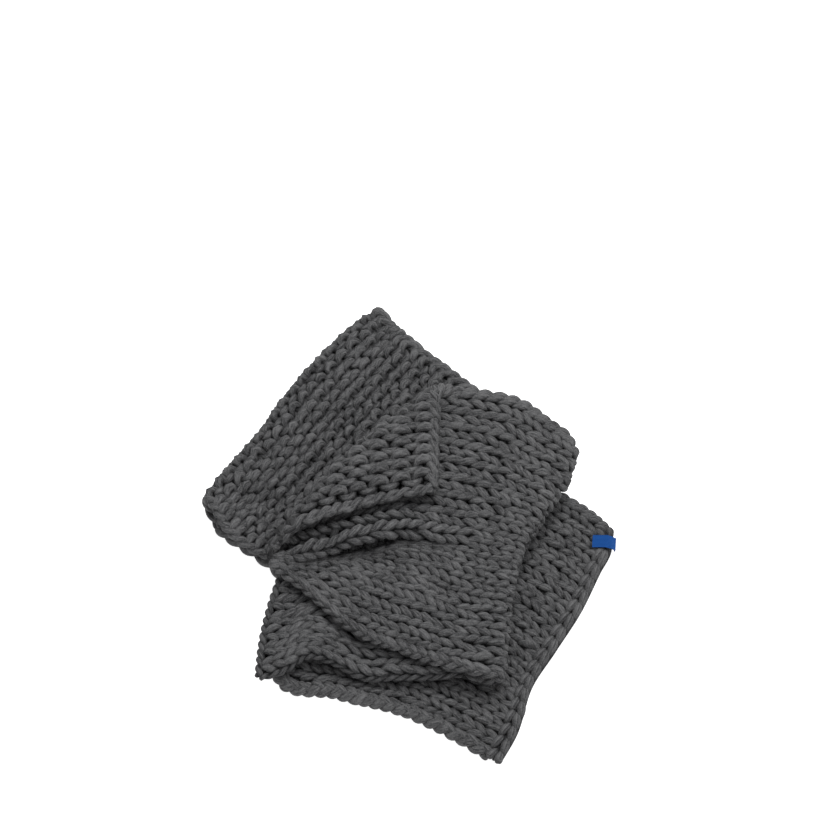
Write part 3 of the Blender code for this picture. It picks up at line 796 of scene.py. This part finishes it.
def knit_strip(material):
    """The strip's three layers with their edges, and the bound-off end."""
    strip, marks, tucks = strip_cloth()
    total = strip.along[-1]
    row_gap = (total - FIRST_COURSE - LAST_COURSE) / (COURSES - 1)
    courses = FIRST_COURSE + row_gap * np.arange(COURSES)
    left_fold, right_fold = marks[LEFT_ROW], marks[RIGHT_ROW]
    starts, stops = (0.0, left_fold, right_fold), (left_fold, right_fold, total + 1)
    for layer, start, stop in zip(LAYERS, starts, stops):
        knit = Yarn(layer.seed)
        for s in courses[(courses >= start) & (courses < stop)]:
            for edges in wale_edges(strip, s, np.interp(s, marks, tucks)):
                knit.course(strip, edges, s, row_gap * LOOP_TALL, -1)
        first, last = max(start, SELVEDGE_START), min(stop, total - SELVEDGE_STOP)
        line = np.linspace(first, last, int((last - first) / SELVEDGE_STEP))
        for edge, fat in ((SELVEDGE, layer.upper_fat), (1 - SELVEDGE, layer.lower_fat)):
            knit.rope(strip, edge, line, layer.level, (last - first) / row_gap / 2, fat)
        if layer is LAYERS[-1]:
            cast_on(knit, strip, CAST_ON)
            beads(knit, strip)
            cast_on(knit, strip, CAST_ON_TUCKED)
        knit.piece(layer.name, material)

    knit = Yarn(END_SEED)
    bound_off(knit, strip)
    across = np.linspace(BACK_INSET, 1 - BACK_INSET, BACK_POINTS)
    for s in courses[(courses > FIRST_COURSE + BACK_START) & (courses < left_fold - BACK_STOP)]:
        knit.backing(strip, across, s - row_gap / 2)
    knit.piece("knit_end", material)


def knit_margin(material):
    """The pleated margin: its rows run up from the lip, with a strand behind each."""
    margin, marks, lengths = margin_cloth()
    lifts = np.array([m.lower_y for m in MARGIN]) - MARGIN[0].lower_y
    tall = MARGIN_COURSE * LOOP_TALL
    knit = Yarn(MARGIN_SEED)
    for s in np.arange(MARGIN_FIRST, margin.along[-1] + MARGIN_PAST, MARGIN_COURSE):
        length = np.interp(s, marks, lengths)
        lift = np.interp(s, marks, lifts)
        wales = max(1, math.ceil((length - MARGIN_HIDDEN) / MARGIN_WALE))
        edges = [MARGIN_WALE * k + MARGIN_LIP - lift * min(k / MARGIN_TURN, 1)
                 for k in range(wales + 1)]
        if s == MARGIN_FIRST:
            knit.course(margin, edges, s + MARGIN_END_SHIFT, tall * MARGIN_END_TALL, 1)
            line = np.linspace(MARGIN_BACK, MARGIN_END_TOP, MARGIN_BACK_POINTS)
            knit.backing(margin, line, MARGIN_END_BACK)
        else:
            knit.course(margin, edges, s, tall, 1)
        top = min(length - MARGIN_BACK_INSET, MARGIN_BACK_TOP)
        line = np.linspace(MARGIN_BACK, top, MARGIN_BACK_POINTS)
        knit.backing(margin, line, s + MARGIN_COURSE / 2)
    line = np.linspace(*MARGIN_END_ROPE)
    knit.rope(margin, line, MARGIN_END_S, MARGIN_END_LEVEL, (line[-1] - line[0]) / MARGIN_WALE,
              MARGIN_END_FAT)
    line = np.linspace(LIP_START, margin.along[-1] - LIP_STOP, LIP_POINTS)
    knit.rope(margin, 0.0, line, LIP_LEVEL, line[-1] / LIP_TURN, LIP_FAT)
    knit.piece("knit_margin", material)


# ---------------------------------------------------------------- materials


def shader(name, base, rough, shine=0.5):
    """A material with its tree and its main shader, on whose sockets the even values are set."""
    made = bpy.data.materials.new(name)
    made.use_nodes = True
    tree = made.node_tree
    main = tree.nodes["Principled BSDF"]
    main.inputs["Base Color"].default_value = (*base, 1)
    main.inputs["Roughness"].default_value = rough
    main.inputs["Specular IOR Level"].default_value = shine
    return made, tree, main


def put(tree, kind, sockets, **settings):
    """A new node with its settings, and a value or a link at each of its named sockets."""
    node = tree.nodes.new("ShaderNode" + kind)
    for key, value in settings.items():
        setattr(node, key, value)
    for socket, value in sockets.items():
        if isinstance(value, bpy.types.NodeSocket):
            tree.links.new(value, node.inputs[socket])
        else:
            node.inputs[socket].default_value = value
    return node


def ramp(tree, value, low, high):
    """A colour that runs between two stops, each a position and a colour."""
    node = put(tree, "ValToRGB", {"Fac": value})
    for stop, (position, colour) in zip(node.color_ramp.elements, (low, high)):
        stop.position, stop.color = position, (*colour, 1)
    return node.outputs["Color"]


def surface(tree, main, colour, height, strength, distance):
    """Gives the main shader its colour, and its relief in metres."""
    bump = put(tree, "Bump", {"Strength": strength, "Distance": distance, "Height": height})
    tree.links.new(bump.outputs["Normal"], main.inputs["Normal"])
    tree.links.new(colour, main.inputs["Base Color"])


def yarn_material():
    """Soft brushed jersey tube: fine lengthwise ribs, a mottled nap, and painted shade where the
    yarn lies deep in the cloth. The meshes carry `shade`, one tone for each stitch, `open`, how
    far out of the cloth a point lies, which sets that painted shade, and `run`, the way along the
    yarn and round it."""
    made, tree, main = shader("charcoal_yarn", (0.08, 0.08, 0.082), 0.95, 0.12)

    def attribute(name):
        return put(tree, "Attribute", {}, attribute_name=name).outputs

    def noise(source, scale, detail):
        sockets = {"Scale": scale, "Detail": detail, "Vector": source}
        return put(tree, "TexNoise", sockets).outputs["Fac"]

    def times(value, factor):
        return put(tree, "Math", {0: value, 1: factor}, operation="MULTIPLY").outputs[0]

    def add(value, factor, rest):
        sockets = {0: value, 1: factor, 2: rest}
        return put(tree, "Math", sockets, operation="MULTIPLY_ADD").outputs[0]

    where = put(tree, "TexCoord", {}).outputs["Object"]
    run = attribute("run")["Vector"]
    stretched = put(tree, "Mapping", {"Scale": (0.032, 1.0, 1.0), "Vector": run})
    rib = noise(stretched.outputs["Vector"], 2.8, 4)
    nap = noise(where, 330, 4)
    patch = noise(where, 16, 3)
    stitch = times(attribute("shade")["Fac"], STITCH_TONE)
    tone = add(nap, NAP_TONE, add(rib, RIB_TONE, add(patch, PATCH_TONE, stitch)))
    tone = times(tone, 1 / (STITCH_TONE + PATCH_TONE + RIB_TONE + NAP_TONE))
    light = ramp(tree, tone, (0.38, (0.044, 0.044, 0.046)), (0.62, (0.165, 0.165, 0.168)))
    # painted shade: where `open` is low, deep in the cloth between the stitches, the colour is
    # mixed towards near black; it stands in for the shade that falls there
    tucked = put(tree, "MapRange", {"Value": attribute("open")["Fac"], "From Min": 0.30,
                                    "From Max": 0.85, "To Min": 0.35})
    shaded = put(tree, "Mix", {}, data_type="RGBA")     # factor, dark and light: 0, 6 and 7
    shaded.inputs[6].default_value = (0.012, 0.012, 0.013, 1)
    tree.links.new(tucked.outputs["Result"], shaded.inputs[0])
    tree.links.new(light, shaded.inputs[7])
    surface(tree, main, shaded.outputs[2], add(rib, 1.4, nap), 0.7, 0.0030)
    return made


def label_material():
    """Narrow woven ribbon: fine crossing threads."""
    made, tree, main = shader("blue_ribbon", (0.010, 0.09, 0.36), 0.8, 0.15)
    where = put(tree, "TexCoord", {}).outputs["Object"]
    threads = []
    for axis, scale in RIBBON_WAVES:
        sockets = {"Scale": scale, "Distortion": 0.6, "Vector": where}
        wave = put(tree, "TexWave", sockets, bands_direction=axis)
        threads.append(wave.outputs["Fac"])
    crossed = put(tree, "Math", {0: threads[0], 1: threads[1]}, operation="MULTIPLY").outputs[0]
    colour = ramp(tree, crossed, (0.0, (0.004, 0.045, 0.19)), (1.0, (0.014, 0.115, 0.44)))
    surface(tree, main, colour, crossed, 0.4, 0.0004)
    return made


# ---------------------------------------------------------------- the object

charcoal = yarn_material()
knit_strip(charcoal)
knit_margin(charcoal)

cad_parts["label"].data.materials.clear()
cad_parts["label"].data.materials.append(label_material())

# ---------------------------------------------------------------- floor, light and camera

scene = bpy.context.scene
corners = [(-FLOOR, -FLOOR, 0), (FLOOR, -FLOOR, 0), (FLOOR, FLOOR, 0), (-FLOOR, FLOOR, 0)]
floor_mesh = bpy.data.meshes.new("floor")
floor_mesh.from_pydata(corners, [], [(0, 1, 2, 3)])
floor = bpy.data.objects.new("floor", floor_mesh)
scene.collection.objects.link(floor)
floor.location.z = -FLOOR_DROP
paper, _, main = shader("paper", (0.93, 0.93, 0.93), 1.0)
main.inputs["Emission Color"].default_value = (1, 1, 1, 1)
main.inputs["Emission Strength"].default_value = FLOOR_GLOW
floor_mesh.materials.append(paper)

world = bpy.data.worlds.new("sky")
world.use_nodes = True
world.node_tree.nodes["Background"].inputs["Color"].default_value = (1, 1, 1, 1)
world.node_tree.nodes["Background"].inputs["Strength"].default_value = SKY_GLOW
scene.world = world
for lamp in LAMPS:
    light = bpy.data.lights.new(lamp.name, "AREA")
    light.size, light.energy = lamp.size, lamp.power
    made = bpy.data.objects.new(lamp.name, light)
    made.location = lamp.place
    made.rotation_mode = "QUATERNION"
    made.rotation_quaternion = (-Vector(lamp.place)).to_track_quat("-Z", "Y")
    scene.collection.objects.link(made)

column, row = PICTURE_CENTRE
target = np.array([column * SCALE, row * SCALE / math.sin(ELEVATION), 0.0])
away = np.array([0.0, -math.cos(ELEVATION), math.sin(ELEVATION)])
camera_data = bpy.data.cameras.new("camera")
camera = bpy.data.objects.new("camera", camera_data)
scene.collection.objects.link(camera)
camera.location = (target + away * CAMERA_DISTANCE - HEAP_CENTRE) * MM
camera.rotation_euler = (math.pi / 2 - ELEVATION, 0, 0)
camera_data.sensor_width = SENSOR
camera_data.lens = SENSOR * CAMERA_DISTANCE / (SCALE * PICTURE)
camera_data.clip_end = SEES_TO
scene.camera = camera
scene.view_settings.view_transform = "Standard"
scene.view_settings.look = "None"
scene.view_settings.exposure = 0.0
